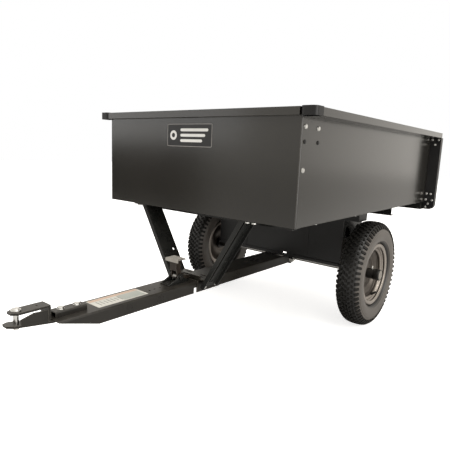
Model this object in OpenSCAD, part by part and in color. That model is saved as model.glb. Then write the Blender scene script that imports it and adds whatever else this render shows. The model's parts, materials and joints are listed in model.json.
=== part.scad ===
// Tow-behind dump cart, in millimetres. +Z is up and the tyres stand on Z = 0.
// The hitch end is -Y, the tailgate end is +Y, and +X is the right side seen from the hitch.
// Inside the modules, y is counted from the outside of the bed's front panel.

/* [Bed] */
// Width outside the side panels
bed_w = 792; // [740:1:840]
// Length from the front panel to the rear ends of the sides
bed_l = 1188; // [1140:1:1240]
// Height from the underside to the top of the rolled rim
bed_h = 315; // [280:1:340]
// Height of the bed's underside above the ground
floor_z = 443; // [438:1:455]
// Thickness of the bed's sheet steel
sheet_t = 2; // [1.6:0.1:2.4]
// Height of the rolled rim
rim_h = 21; // [18:1:26]
// How far the side rims stand out
side_rim_out = 46; // [44:1:50]
// How far the front rim stands out
front_rim_out = 14; // [10:1:20]

/* [Wheels] */
// Tyre diameter
tyre_d = 400; // [392:1:404]
// Tyre width
tyre_w = 92; // [88:1:96]
// Distance between the middles of the two tyres
track = 742; // [736:1:760]
// Diameter over the lips of the steel rims
lip_d = 237; // [230:1:240]
// Axle rod diameter
axle_d = 19; // [18:0.5:20]
// Axle position behind the front panel
axle_y = 617; // [610:1:622]

/* [Drawbar] */
// Width of the front tongue channel
tongue_w = 92; // [88:1:96]
// Depth of the tongue channel's sides
tongue_depth = 36; // [34:1:40]
// Height of the front tongue channel's top above the ground
tongue_top = 217; // [215:1:218]
// Thickness of the tongue's steel
tongue_t = 3; // [2.5:0.5:3.5]
// Distance from the front panel to the front end of the tongue
tongue_reach = 475; // [470:1:500]

/* [Hitch] */
// Hitch pin diameter
pin_d = 12.7; // [12:0.1:13]
// Open height between the two hitch plates at the pin
throat = 25; // [23:1:28]
// How much the lower hitch plate climbs from the tongue's end to the pin
lower_rise = 11; // [8:1:13]
// Thickness of the hitch plates
hitch_t = 6; // [5:0.5:7]
// Width of the hitch plates
hitch_w = 38; // [36:1:44]
// Distance from the tongue's end to the hitch pin
pin_reach = 81; // [76:1:90]

/* [Latch] */
// Height of the foot pedal above the tongue
pedal_h = 80; // [76:1:88]
// Width of the foot pedal
pedal_w = 56; // [50:1:64]

/* [Hidden] */

$fn = 48;
gap = 0.3;
fit = 0.06;
cut = 1;
big = 3000;

// Bed
half_w = bed_w / 2;
wall_h = bed_h - rim_h;
wrap_y = 26;
rim_x = half_w + side_rim_out;
cap_grow = 1.5;
corner_end = 6.4;

// Rear channels and tailgate
bracket_t = 3;
bracket_x = rim_x - 1;
bracket_y = bed_l - bracket_t - sheet_t - gap;
bracket_drop = 34;
channel_end = bracket_y + 29;
gate_y = bed_l + 7;
gate_half = bracket_x - bracket_t - 4;
gate_foot = floor_z - bracket_drop + bracket_t + gap;

// Axle and its support
axle_z = tyre_d / 2;
support_y = axle_y - 87;
support_back = axle_y + 87;
support_t = 2.5;
support_foot = tongue_top + 6;
support_half = 298;
wing_x = 356;

// Drawbar
tongue_half = tongue_w / 2;
rear_half = tongue_half + tongue_t + gap;
rear_top = tongue_top + tongue_t + gap;
rear_start = 8;
overlap_end = 120;
pivot_y = axle_y - 29;
pivot_z = tongue_top - 22;
pivot_d = 12.7;
pivot_round = 17;

// Legs that carry the front of the bed on the tongue
leg_lean = 31.4;
leg_foot_x = 63.5;
leg_foot_z = tongue_top - 14;
leg_front = 4;
leg_w = 71;
leg_t = 3;
leg_lip = 14;
leg_top_x = leg_foot_x + (floor_z - leg_foot_z) * tan(leg_lean);

// Hitch
lower_top = tongue_top - tongue_t - 0.1;
upper_foot = lower_top + lower_rise + throat;
hitch_y = -tongue_reach - pin_reach;
nose_y = hitch_y - 27;
back_y = -tongue_reach - 11;
climb = lower_rise / pin_reach;

// Latch
latch_y = -42;
latch_z = tongue_top + 19;
latch_pin_d = 8;
pedal_z = tongue_top + pedal_h;
lever_half = 14;

// Wheels
wheel_x = track / 2;
rim_half = 29;
seat_r = lip_d / 2 - 14.4;
well_r = lip_d / 2 - 28;
hub_r = 19.5;
hub_in = -49;
hub_out = 37;
bushing_r = 13;

// The bounding box is centred on the origin in X and Y
rear_end = channel_end;
front_y = -(rear_end + nose_y) / 2;

module at_bed() translate([0, front_y, 0]) children();
module both_sides() { children(); mirror([1, 0, 0]) children(); }

// A plate standing in the Y-Z plane, from x_low outward by t
module side_plate(x_low, t) translate([x_low, 0, 0]) rotate([90, 0, 90]) linear_extrude(t) children();

// A profile in the X-Z plane run along Y
module along_y(y_low, length) translate([0, y_low + length, 0]) rotate([90, 0, 0]) linear_extrude(length) children();

module block(low, high) translate(low) cube(high - low);

module rounded(low, high, r) {
    translate([low[0] + r, low[1]]) square([high[0] - low[0] - 2 * r, high[1] - low[1]]);
    translate([low[0], low[1] + r]) square([high[0] - low[0], high[1] - low[1] - 2 * r]);
    for (x = [low[0] + r, high[0] - r], y = [low[1] + r, high[1] - r]) translate([x, y]) circle(r);
}

// Hexagon bolt with its nut: the head's seat is at z = 0 and the shank runs down
module bolt(d, grip, head = 0.62) {
    translate([0, 0, 0.1]) cylinder(h = head * d, d = 1.75 * d, $fn = 6);
    translate([0, 0, 0.1]) cylinder(h = 0.12 * d, d = 1.95 * d);
    translate([0, 0, -grip - 1.15 * d]) cylinder(h = grip + 1.15 * d + 0.3, d = d);
    translate([0, 0, -grip - 0.1 - 0.8 * d]) cylinder(h = 0.8 * d, d = 1.75 * d, $fn = 6);
}

// Bolt with a thin flat head: the nut's seat is at z = 0 and the flat head is at the far side
module flat_bolt(d, grip) {
    translate([0, 0, 0.1]) cylinder(h = 0.8 * d, d = 1.75 * d, $fn = 6);
    translate([0, 0, -grip - 0.2]) cylinder(h = grip + 1.1 * d, d = d);
    translate([0, 0, -grip - 0.1 - 0.25 * d]) cylinder(h = 0.25 * d, d = 2 * d);
}

// Rivet with a low round head
module rivet(d, grip) {
    translate([0, 0, 0.1]) cylinder(h = 0.22 * d, d = 1.9 * d);
    translate([0, 0, 0.1]) cylinder(h = 0.38 * d, d = 1.4 * d);
    translate([0, 0, -grip - 0.3]) cylinder(h = grip + 0.5, d = d);
    translate([0, 0, -grip - 0.1 - 0.3 * d]) cylinder(h = 0.3 * d, d = 1.6 * d);
}

// Bolt positions as [y, height above the bed's underside] on the side panels
corner_spots = [[18, wall_h - 27], [18, wall_h - 140], [92, wall_h - 28]];
rivet_spots = [[18, wall_h - 66], [94, wall_h - 66]];
// Bolt positions as [x, height above the bed's underside] on the rear brackets
bracket_spots = [[half_w + 9, wall_h - 9], [bracket_x - 10, wall_h - 9], [half_w + 22, wall_h - 31],
    [half_w + 10, 38], [half_w + 28, 38], [half_w + 9, 10], [bracket_x - 9, 9]];
low_spots = [[half_w + 20, -9], [half_w + 10, -24]];
// Bolt positions as [x, y] for the flat joints under the floor
leg_spots = [[leg_top_x + 20, 16], [leg_top_x + 43, 16], [leg_top_x + 32, 62]];
support_spots = [[120, support_y - 16], [250, support_y - 16], [120, support_back + 16], [250, support_back + 16]];
wing_spot = [330, support_y + 36];
member_spots = [[140, 901], [300, 901], [140, 123], [300, 123], [150, bed_l - 22], [330, bed_l - 22]];
floor_spots = [[half_w - 13, 140], [half_w - 13, 420], [half_w - 13, 800], [half_w - 13, 1080]];

module down_holes(spots, d) both_sides() for (s = spots)
    translate([s[0], s[1], floor_z - 20]) cylinder(h = 40, d = d + 2 * gap);

module side_holes(spots, d) both_sides() for (s = spots)
    translate([half_w - 15, s[0], floor_z + s[1]]) rotate([0, 90, 0]) cylinder(h = 30, d = d + 2 * gap);

module bracket_holes(spots, d) both_sides() for (s = spots)
    translate([s[0], bracket_y + 15, floor_z + s[1]]) rotate([90, 0, 0]) cylinder(h = 30, d = d + 2 * gap);

module bed_floor() color([0.16, 0.15, 0.14]) at_bed() difference() {
    block([-half_w, sheet_t + gap, floor_z], [half_w, bed_l - gap, floor_z + sheet_t]);
    both_sides() block([half_w - 4, -cut, floor_z - cut], [big, corner_end, floor_z + 9]);
    down_holes(leg_spots, 8);
    down_holes(support_spots, 8);
    down_holes(member_spots, 8);
    down_holes([wing_spot], 8);
    down_holes(floor_spots, 6);
}

// Front panel: folded round both corners, with a rolled rim at its top
module front_panel() color([0.18, 0.17, 0.16]) at_bed() difference() {
    union() {
        translate([0, 0, floor_z]) linear_extrude(wall_h - cap_grow - gap) intersection() {
            difference() {
                rounded([-half_w - gap - sheet_t, 0], [half_w + gap + sheet_t, 200], 6);
                rounded([-half_w - gap, sheet_t], [half_w + gap, 198], 4);
            }
            translate([-big / 2, -cut]) square([big, wrap_y + cut]);
        }
        block([-half_w, 0, floor_z], [half_w, sheet_t, floor_z + bed_h]);
        block([-half_w, -front_rim_out, floor_z + bed_h - sheet_t], [half_w, sheet_t, floor_z + bed_h]);
        block([-half_w, -front_rim_out, floor_z + wall_h],
            [half_w, -front_rim_out + sheet_t, floor_z + bed_h]);
        block([-half_w, -front_rim_out, floor_z + wall_h], [half_w, sheet_t, floor_z + wall_h + sheet_t]);
        block([-half_w + 30, sheet_t - 0.1, floor_z + sheet_t + gap],
            [half_w - 30, 8, floor_z + 2 * sheet_t + gap]);
    }
    side_holes([corner_spots[0], corner_spots[1]], 7);
    side_holes([rivet_spots[0]], 6);
}

// Side panel: upright wall, inward foot, rolled rim and an outward flange at its rear end
module side_panel() at_bed() difference() {
    union() {
        block([half_w - sheet_t, corner_end, floor_z + sheet_t + gap], [half_w, bed_l, floor_z + bed_h]);
        block([half_w - 26, 24, floor_z + sheet_t + gap], [half_w, bed_l, floor_z + 2 * sheet_t + gap]);
        block([half_w - sheet_t, 24.3, floor_z + bed_h - sheet_t], [rim_x, bed_l, floor_z + bed_h]);
        block([rim_x - sheet_t, 24.3, floor_z + wall_h], [rim_x, bed_l, floor_z + bed_h]);
        block([half_w - sheet_t, 24.3, floor_z + wall_h], [rim_x, bed_l, floor_z + wall_h + sheet_t]);
        block([half_w - sheet_t, bed_l - sheet_t, floor_z + sheet_t + gap],
            [bracket_x - bracket_t - 3, bed_l, floor_z + wall_h + 0.1]);
    }
    side_holes(corner_spots, 7);
    side_holes(rivet_spots, 6);
    bracket_holes(bracket_spots, 6);
    down_holes(floor_spots, 6);
}

module right_side_panel() color([0.22, 0.21, 0.2]) side_panel();
module left_side_panel() color([0.22, 0.21, 0.2]) mirror([1, 0, 0]) side_panel();

// Rounded caps that close the front corners of the rim
module corner_caps() color([0.05, 0.05, 0.05]) at_bed() both_sides() {
    difference() {
        translate([0, 0, floor_z + wall_h - cap_grow]) linear_extrude(rim_h + 2 * cap_grow) difference() {
            rounded([half_w + gap, -front_rim_out - cap_grow], [rim_x + cap_grow, 40], 14);
            translate([0, 24]) square([big, 50]);
        }
        translate([0, 0, floor_z + wall_h - cap_grow - cut])
            linear_extrude(rim_h + cap_grow + cut - 1) difference() {
                rounded([half_w + gap + 2, -front_rim_out - cap_grow + 2], [rim_x + cap_grow - 2, 40], 12);
                translate([0, 22]) square([big, 50]);
            }
    }
}

// Channel at the rear end of each side, in which the tailgate slides
module rear_bracket() at_bed() difference() {
    intersection() {
        translate([0, 0, floor_z - bracket_drop]) linear_extrude(wall_h + bracket_drop - gap) union() {
            translate([half_w + 2 * gap, bracket_y]) square([bracket_x - half_w - 2 * gap, bracket_t]);
            translate([bracket_x - bracket_t, bracket_y]) square([bracket_t, channel_end - bracket_y]);
            translate([half_w + 8, channel_end - bracket_t]) square([bracket_x - half_w - 8, bracket_t]);
        }
        along_y(bracket_y - cut, 60) union() {
            translate([half_w, floor_z - bracket_drop + 22]) square([bracket_x - half_w, wall_h + 60]);
            translate([half_w, floor_z - bracket_drop]) square([bracket_x - half_w - 22, 60]);
            translate([bracket_x - 22, floor_z - bracket_drop + 22]) circle(22);
        }
    }
    bracket_holes(bracket_spots, 6);
    bracket_holes(low_spots, 6);
}

module right_rear_bracket() color([0.04, 0.04, 0.045]) rear_bracket();
module left_rear_bracket() color([0.04, 0.04, 0.045]) mirror([1, 0, 0]) rear_bracket();

// Channel under the rear edge of the floor, with the lip the tailgate stands on
module rear_sill() color([0.08, 0.08, 0.08]) at_bed() difference() {
    union() {
        block([-half_w, bed_l - 45, floor_z - bracket_t - gap], [half_w, bed_l - 1, floor_z - gap]);
        block([-half_w, bed_l - 45, floor_z - bracket_drop], [half_w, bed_l - 45 + bracket_t, floor_z - gap]);
        block([-half_w, bed_l - 45, floor_z - bracket_drop],
            [half_w, gate_y + 10, floor_z - bracket_drop + bracket_t]);
        block([-half_w, bed_l - 4, floor_z - bracket_drop], [half_w, bed_l - 1, floor_z - gap]);
    }
    down_holes(member_spots, 8);
}

module cross_channel(half_length, y_low, depth) difference() {
    union() {
        block([-half_length, y_low, floor_z - depth], [half_length, y_low + support_t, floor_z - gap]);
        block([-half_length, y_low, floor_z - support_t - gap], [half_length, y_low + 42, floor_z - gap]);
        block([-half_length, y_low, floor_z - depth], [half_length, y_low + 30, floor_z - depth + support_t]);
    }
    down_holes(member_spots, 8);
}

module rear_cross_member() color([0.07, 0.07, 0.07]) at_bed() cross_channel(352, 880, 47);
module front_cross_member() color([0.07, 0.07, 0.07]) at_bed() cross_channel(330, 102, 26);

// Folded support between the floor and the axle
module axle_support() color([0.1, 0.1, 0.1]) at_bed() difference() {
    union() {
        block([-support_half, support_y, support_foot], [support_half, support_y + support_t, floor_z - gap]);
        block([-support_half, support_y - 32, floor_z - support_t - gap],
            [support_half, support_y + support_t, floor_z - gap]);
        block([-support_half, support_y - 5, support_foot], [support_half, support_y + 12, support_foot + support_t]);
        block([-support_half, support_y - 5, support_foot],
            [support_half, support_y - 5 + support_t, support_foot + 11]);
        block([-support_half, support_back - support_t, support_foot],
            [support_half, support_back, floor_z - gap]);
        block([-support_half, support_back - support_t, floor_z - support_t - gap],
            [support_half, support_back + 32, floor_z - gap]);
        block([-support_half, support_back - 12, support_foot], [support_half, support_back, support_foot + support_t]);
        for (x = [-150, 150]) block([x - 6, support_y - 2, support_foot + 10],
            [x + 6, support_y + 0.1, floor_z - gap]);
    }
    down_holes(support_spots, 8);
    block([43, support_y - 10, support_foot + 9.5], [66, support_y + 20, support_foot + 15.5]);
}

// Two end plates that hang from the floor and hold the axle
module support_end_plates() color([0.09, 0.09, 0.09]) at_bed() both_sides()
    side_plate(support_half - 5, 5) difference() {
        union() {
            translate([support_y + support_t + gap, support_foot + 3])
                square([2 * 87 - 2 * support_t - 2 * gap, floor_z - support_foot - 3.3 - gap]);
            polygon([[axle_y - 50, support_foot + 4], [axle_y - 24, axle_z], [axle_y + 24, axle_z],
                [axle_y + 50, support_foot + 4]]);
            translate([axle_y, axle_z]) circle(24);
        }
        translate([axle_y, axle_z]) circle(d = axle_d + 0.2);
        for (y = [axle_y - 45, axle_y + 45]) translate([y, floor_z - 90]) circle(22);
    }

// Short wings that carry the support's front wall outward over the tyres
module support_wings() color([0.06, 0.06, 0.06]) at_bed() both_sides() difference() {
    union() {
        block([support_half + gap, support_y, floor_z - 40], [wing_x, support_y + support_t, floor_z - gap]);
        block([wing_x - support_t, support_y, floor_z - 40], [wing_x, support_y + 73, floor_z - gap]);
        block([support_half + gap, support_y, floor_z - support_t - gap], [wing_x, support_y + 73, floor_z - gap]);
    }
    down_holes([wing_spot], 8);
}

// Two plates between the support's walls: they hold the axle and hang on the pivot bolt
module pivot_ears() color([0.08, 0.08, 0.08]) at_bed() both_sides()
    side_plate(tongue_half - 6, 5) difference() {
        union() {
            translate([support_y + support_t + gap, support_foot + 3])
                square([2 * 87 - 2 * support_t - 2 * gap, floor_z - support_foot - 3.3 - gap]);
            polygon([[pivot_y - 30, support_foot + 4], [pivot_y - pivot_round + 3, pivot_z],
                [axle_y, axle_z - 20], [axle_y + 19, axle_z], [axle_y + 45, support_foot + 4]]);
            translate([pivot_y, pivot_z]) circle(pivot_round);
            translate([axle_y, axle_z]) circle(20);
        }
        translate([pivot_y, pivot_z]) circle(d = pivot_d + 2 * fit);
        translate([axle_y, axle_z]) circle(d = axle_d + 0.6);
        translate([axle_y, floor_z - 90]) circle(40);
        translate([support_y, support_foot - 10]) square([34, 29]);
    }

module axle() color([0.72, 0.72, 0.7]) at_bed() difference() {
    translate([-wheel_x - hub_out - 11, axle_y, axle_z]) rotate([0, 90, 0])
        cylinder(h = 2 * (wheel_x + hub_out + 11), d = axle_d);
    both_sides() translate([wheel_x + hub_out + 6.5, axle_y, axle_z - 20]) cylinder(h = 40, d = 4.4);
}

module axle_washers() color([0.75, 0.75, 0.73]) at_bed() both_sides() {
    for (x = [wheel_x + hub_in - 2.9, wheel_x + hub_out + 0.4])
        translate([x, axle_y, axle_z]) rotate([0, 90, 0]) difference() {
            cylinder(h = 2.4, r = 16.5);
            translate([0, 0, -cut]) cylinder(h = 5, d = axle_d + 0.5);
        }
    translate([support_half + gap, axle_y, axle_z]) rotate([0, 90, 0]) difference() {
        cylinder(h = wheel_x + hub_in - 3.4 - support_half - gap, r = 13);
        translate([0, 0, -cut]) cylinder(h = 40, d = axle_d + 0.5);
    }
}

module axle_cotter_pins() color([0.78, 0.78, 0.76]) at_bed() both_sides()
    translate([wheel_x + hub_out + 6.5, axle_y, axle_z - 14]) {
        cylinder(h = 28, d = 3.8);
        translate([0, 0, 26]) rotate([90, 0, 0]) translate([0, 0, -1.5]) cylinder(h = 3, d = 5.6);
    }

// Leaning channel from the floor to the side of the tongue, open outward
module leg() at_bed() {
    difference() {
        translate([leg_foot_x, 0, leg_foot_z]) rotate([0, leg_lean, 0]) difference() {
            union() {
                block([0, leg_front, 0], [leg_t, leg_front + leg_w, 330]);
                block([0, leg_front, 0], [leg_lip, leg_front + leg_t, 330]);
                block([0, leg_front + leg_w - leg_t, 0], [leg_lip, leg_front + leg_w, 330]);
                block([0, leg_front + 24, 24], [7, leg_front + 28, 330]);
            }
            translate([-5, leg_front + 54, 104]) rotate([0, 90, 0]) cylinder(h = 20, d = 9);
            translate([-5, leg_front + 40, 20]) rotate([0, 90, 0]) cylinder(h = 20, d = 9);
        }
        block([-big, -big, floor_z - gap - 1.2], [big, big, floor_z + 200]);
    }
    difference() {
        block([leg_top_x - 8, leg_front - 1, floor_z - leg_t - gap],
            [leg_top_x + 56, leg_front + leg_w + 1, floor_z - gap]);
        down_holes(leg_spots, 8);
    }
}

module right_leg() color([0.15, 0.14, 0.13]) leg();
module left_leg() color([0.15, 0.14, 0.13]) mirror([1, 0, 0]) leg();

// Plate that joins the feet of the legs over the tongue; the latch meets its front edge
module latch_striker() color([0.2, 0.19, 0.18]) at_bed() difference() {
    union() {
        block([-leg_foot_x - 12.1, 12, rear_top + 3], [leg_foot_x + 12.1, 68, rear_top + 7]);
        block([-leg_foot_x + 10, 12, rear_top + 3], [leg_foot_x - 10, 16, rear_top + 16]);
    }
    for (x = [-34, 34]) block([x - 14, 30, rear_top], [x + 14, 38, rear_top + 20]);
    for (x = [-34, 34]) block([x - 14, 48, rear_top], [x + 14, 56, rear_top + 20]);
}

module corner_bolts() color([0.8, 0.8, 0.78]) at_bed() both_sides() {
    for (s = [corner_spots[0], corner_spots[1]])
        translate([half_w + gap + sheet_t, s[0], floor_z + s[1]]) rotate([0, 90, 0])
            bolt(7, 2 * sheet_t + gap, 0.45);
    translate([half_w, corner_spots[2][0], floor_z + corner_spots[2][1]]) rotate([0, 90, 0])
        bolt(7, sheet_t, 0.45);
}

module corner_rivets() color([0.06, 0.06, 0.06]) at_bed() both_sides() {
    translate([half_w + gap + sheet_t, rivet_spots[0][0], floor_z + rivet_spots[0][1]]) rotate([0, 90, 0])
        rivet(6, 2 * sheet_t + gap);
    translate([half_w, rivet_spots[1][0], floor_z + rivet_spots[1][1]]) rotate([0, 90, 0])
        rivet(6, sheet_t);
}

module rear_bracket_bolts() color([0.8, 0.8, 0.78]) at_bed() both_sides() {
    for (s = bracket_spots) translate([s[0], bracket_y, floor_z + s[1]]) rotate([90, 0, 0])
        flat_bolt(6, bracket_t + gap + sheet_t);
    for (s = low_spots) translate([s[0], bracket_y, floor_z + s[1]]) rotate([90, 0, 0])
        flat_bolt(6, bracket_t);
}

module leg_bolts() color([0.8, 0.8, 0.78]) at_bed() both_sides() for (s = leg_spots)
    translate([s[0], s[1], floor_z - leg_t - gap]) rotate([180, 0, 0]) bolt(8, leg_t + gap + sheet_t);

module underframe_bolts() color([0.8, 0.8, 0.78]) at_bed() both_sides() {
    for (s = concat(support_spots, [wing_spot])) translate([s[0], s[1], floor_z - support_t - gap]) rotate([180, 0, 0])
        bolt(8, support_t + gap + sheet_t);
    for (i = [0:3]) translate([member_spots[i][0], member_spots[i][1], floor_z - support_t - gap])
        rotate([180, 0, 0]) bolt(8, support_t + gap + sheet_t);
    for (i = [4:5]) translate([member_spots[i][0], member_spots[i][1], floor_z - bracket_t - gap])
        rotate([180, 0, 0]) bolt(8, bracket_t + gap + sheet_t);
}

module floor_bolts() color([0.8, 0.8, 0.78]) at_bed() both_sides() for (s = floor_spots)
    translate([s[0], s[1], floor_z]) rotate([180, 0, 0]) bolt(6, 2 * sheet_t + gap);

// Tailgate: a sheet with pressed bands, standing in the rear channels
module tailgate_panel() color([0.18, 0.17, 0.16]) at_bed() {
    block([-gate_half, gate_y, gate_foot], [gate_half, gate_y + sheet_t, floor_z + wall_h - 1]);
    for (h = [40, 130, 220]) block([-half_w + 40, gate_y, floor_z + h], [half_w - 40, gate_y + 5, floor_z + h + 22]);
    block([-half_w + 10, gate_y, gate_foot], [half_w - 10, gate_y + 9, gate_foot + sheet_t]);
}

module tailgate_rail() color([0.14, 0.13, 0.13]) at_bed() difference() {
    block([-gate_half, gate_y - 2, floor_z + wall_h - 1 + gap], [gate_half, gate_y + 9, floor_z + bed_h]);
    block([-gate_half + 2, gate_y, floor_z + wall_h - 2], [gate_half - 2, gate_y + 7, floor_z + bed_h - 2]);
}

module tongue_profile(half, top, t) difference() {
    rounded([-half, top - tongue_depth * 2], [half, top], 5);
    rounded([-half + t, top - tongue_depth * 2 - 9], [half - t, top - t], 2);
    translate([-big / 2, top - big - tongue_depth]) square([big, big]);
}

// Front tongue channel: its sides taper out to nothing at the hitch end
module tongue_front() color([0.2, 0.19, 0.18]) at_bed() difference() {
    intersection() {
        along_y(-tongue_reach, tongue_reach + overlap_end) tongue_profile(tongue_half, tongue_top, tongue_t);
        side_plate(-tongue_half - cut, tongue_w + 2 * cut)
            polygon([[-tongue_reach - cut, tongue_top + cut], [-tongue_reach, tongue_top - tongue_t],
                [-tongue_reach + 113, tongue_top - tongue_depth], [overlap_end, tongue_top - tongue_depth],
                [overlap_end, tongue_top + cut]]);
    }
    for (y = [-444, -399]) translate([0, y, tongue_top - 20]) cylinder(h = 40, d = 10 + 2 * gap);
    for (y = [-160, -140, -118]) translate([8, y, tongue_top - 20]) cylinder(h = 40, d = 8);
    for (y = [-78, -18]) translate([0, y, tongue_top - 20]) cylinder(h = 40, d = 8 + 2 * gap);
    for (y = [38, 98]) translate([-big / 2, y, tongue_top - 20]) rotate([0, 90, 0])
        cylinder(h = big, d = 10 + 2 * gap);
    block([-big, -6, tongue_top - tongue_depth - cut], [big, rear_start, tongue_top - 18]);
}

// Rear tongue channel: slides over the front one and ends in two ears on the pivot bolt
module tongue_rear() color([0.12, 0.12, 0.12]) at_bed() difference() {
    intersection() {
        along_y(rear_start, pivot_y + 40 - rear_start) union() {
            tongue_profile(rear_half, rear_top, tongue_t);
            for (x = [-rear_half, rear_half - tongue_t]) translate([x, pivot_z - 25]) square([tongue_t, 25]);
        }
        side_plate(-rear_half - cut, 2 * rear_half + 2 * cut) union() {
            translate([rear_start, rear_top - tongue_depth]) square([pivot_y - rear_start, tongue_depth + cut]);
            translate([pivot_y, pivot_z]) circle(pivot_round);
            translate([pivot_y - cut, pivot_z]) square([pivot_round - 5, rear_top - pivot_z - 12]);
        }
    }
    block([-rear_half + tongue_t, support_y - 12, pivot_z - 40], [rear_half - tongue_t, pivot_y + 60, rear_top + 10]);
    translate([-big / 2, pivot_y, pivot_z]) rotate([0, 90, 0]) cylinder(h = big, d = pivot_d + 2 * gap);
    for (y = [38, 98]) translate([-big / 2, y, tongue_top - 20]) rotate([0, 90, 0])
        cylinder(h = big, d = 10 + 2 * gap);
    for (y = [180, 330]) translate([0, y, tongue_top - 20]) cylinder(h = 40, d = 14);
}

module tongue_bolts() color([0.8, 0.8, 0.78]) at_bed() for (y = [38, 98])
    translate([rear_half, y, tongue_top - 20]) rotate([0, 90, 0]) bolt(10, 2 * rear_half, 0.5);

// Outline of a hitch plate from above: its nose is cut to the width 2 * tip
module nose(front, tip, y_back) polygon([[-tip, front], [tip, front], [hitch_w / 2, front + 14],
    [hitch_w / 2, y_back], [-hitch_w / 2, y_back], [-hitch_w / 2, front + 14]]);

// Upper hitch plate with the upright behind it
module hitch_upper_plate() color([0.13, 0.13, 0.13]) at_bed() difference() {
    union() {
        translate([0, 0, upper_foot]) linear_extrude(hitch_t) nose(hitch_y - 16, 9, back_y + hitch_t);
        block([-hitch_w / 2, back_y, lower_top + 11 * climb + gap],
            [hitch_w / 2, back_y + hitch_t, upper_foot + hitch_t]);
    }
    translate([0, hitch_y, upper_foot - cut]) cylinder(h = 20, d = pin_d + 2 * fit);
    translate([0, back_y - 20, upper_foot - cut]) cylinder(h = 20, d = 6);
}

// Lower hitch plate: bolted under the tongue, it climbs toward the pin and has a wall at its right side
module hitch_lower_plate() color([0.17, 0.16, 0.16]) at_bed() difference() {
    union() {
        intersection() {
            translate([0, 0, lower_top - 20]) linear_extrude(60) nose(nose_y, 10, -380);
            side_plate(-hitch_w / 2 - cut, hitch_w + 2 * cut)
                polygon([[-380 + cut, lower_top - hitch_t], [-380 + cut, lower_top], [-tongue_reach, lower_top],
                    [nose_y - cut, lower_top - (nose_y - cut + tongue_reach) * climb],
                    [nose_y - cut, lower_top - (nose_y - cut + tongue_reach) * climb - hitch_t],
                    [-tongue_reach, lower_top - hitch_t]]);
        }
        side_plate(hitch_w / 2 - 3, 3)
            polygon([[hitch_y + 3, lower_top + 6], [hitch_y + 3, upper_foot - 12], [hitch_y + 34, upper_foot - 3.5],
                [back_y - gap, upper_foot - 5], [back_y - gap, lower_top - cut]]);
    }
    translate([0, hitch_y, lower_top - 20]) cylinder(h = 60, d = pin_d + 2 * fit);
    for (y = [-444, -399]) translate([0, y, lower_top - 20]) cylinder(h = 40, d = 10 + 2 * gap);
}

// Raised channel on the tongue behind the hitch
module hitch_mount() color([0.16, 0.15, 0.15]) at_bed() difference() {
    along_y(-tongue_reach + 8, 88) difference() {
        rounded([-17, tongue_top + 0.2 - 10], [17, tongue_top + 15], 4);
        rounded([-14, tongue_top - 20], [14, tongue_top + 12], 2);
        translate([-50, tongue_top + 0.2 - 50]) square([100, 50]);
    }
    for (y = [-444, -399]) translate([0, y, tongue_top - 20]) cylinder(h = 40, d = 10 + 2 * gap);
}

module hitch_bolts() color([0.8, 0.8, 0.78]) at_bed() {
    for (y = [-444, -399]) translate([0, y, tongue_top + 15])
        bolt(10, 15 + tongue_t + 0.1 + hitch_t, 0.5);
    translate([6, back_y + hitch_t + 0.2, upper_foot - 5]) rotate([-90, 0, 0]) cylinder(h = 5, d = 11, $fn = 6);
}

// Bracket on the tongue that carries the latch
module latch_bracket() color([0.07, 0.07, 0.07]) at_bed() difference() {
    union() {
        block([-20, -92, tongue_top + 0.2], [20, -6, tongue_top + 3.2]);
        both_sides() side_plate(17, 3) union() {
            polygon([[-92, tongue_top + 2], [-6, tongue_top + 2], [latch_y + 12, latch_z], [latch_y - 12, latch_z]]);
            translate([latch_y, latch_z]) circle(12);
        }
    }
    for (y = [-78, -18]) translate([0, y, tongue_top - 20]) cylinder(h = 40, d = 8 + 2 * gap);
    translate([-50, latch_y, latch_z]) rotate([0, 90, 0]) cylinder(h = 100, d = latch_pin_d + 0.2);
}

module latch_bolts() color([0.8, 0.8, 0.78]) at_bed() for (y = [-78, -18])
    translate([0, y, tongue_top + 3.2]) bolt(8, 3.2 + tongue_t, 0.4);

module latch_pin() color([0.75, 0.75, 0.73]) at_bed() translate([-24.4, latch_y, latch_z]) rotate([0, 90, 0]) {
    cylinder(h = 48.8, d = latch_pin_d);
    cylinder(h = 4, d = 13);
    translate([0, 0, 44.8]) cylinder(h = 4, d = 13);
}

// Torsion spring on the latch pin, as a row of wire rings with its two legs
module latch_spring() color([0.7, 0.7, 0.68]) at_bed() translate([0, latch_y, latch_z]) {
    for (i = [-3:3]) translate([i * 2.4, 0, 0]) rotate([0, 90, 0]) rotate_extrude()
        translate([7.4, 0]) circle(d = 2, $fn = 16);
    for (i = [-3:2]) translate([i * 2.4 + 1.2, 7.4, 0]) rotate([0, 90, 0]) cylinder(h = 2.4, d = 1.8, center = true);
    translate([-7.2, -7.4, -12]) cylinder(h = 12, d = 1.8);
    translate([7.2, -7.4, 0]) cylinder(h = 26, d = 1.8);
}

// Bolt on which the bed tips
module pivot_bolt() color([0.78, 0.78, 0.76]) at_bed() translate([-rear_half - 17, pivot_y, pivot_z])
    rotate([0, 90, 0]) {
        cylinder(h = 2 * rear_half + 31, d = pivot_d);
        translate([0, 0, 17 - 0.3 - 8]) cylinder(h = 8, d = 22, $fn = 6);
        translate([0, 0, 17 + 2 * rear_half + 0.3]) cylinder(h = 8, d = 22, $fn = 6);
        translate([0, 0, 17 + 2 * rear_half + 0.3]) cylinder(h = 1.6, d = 25);
    }

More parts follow.
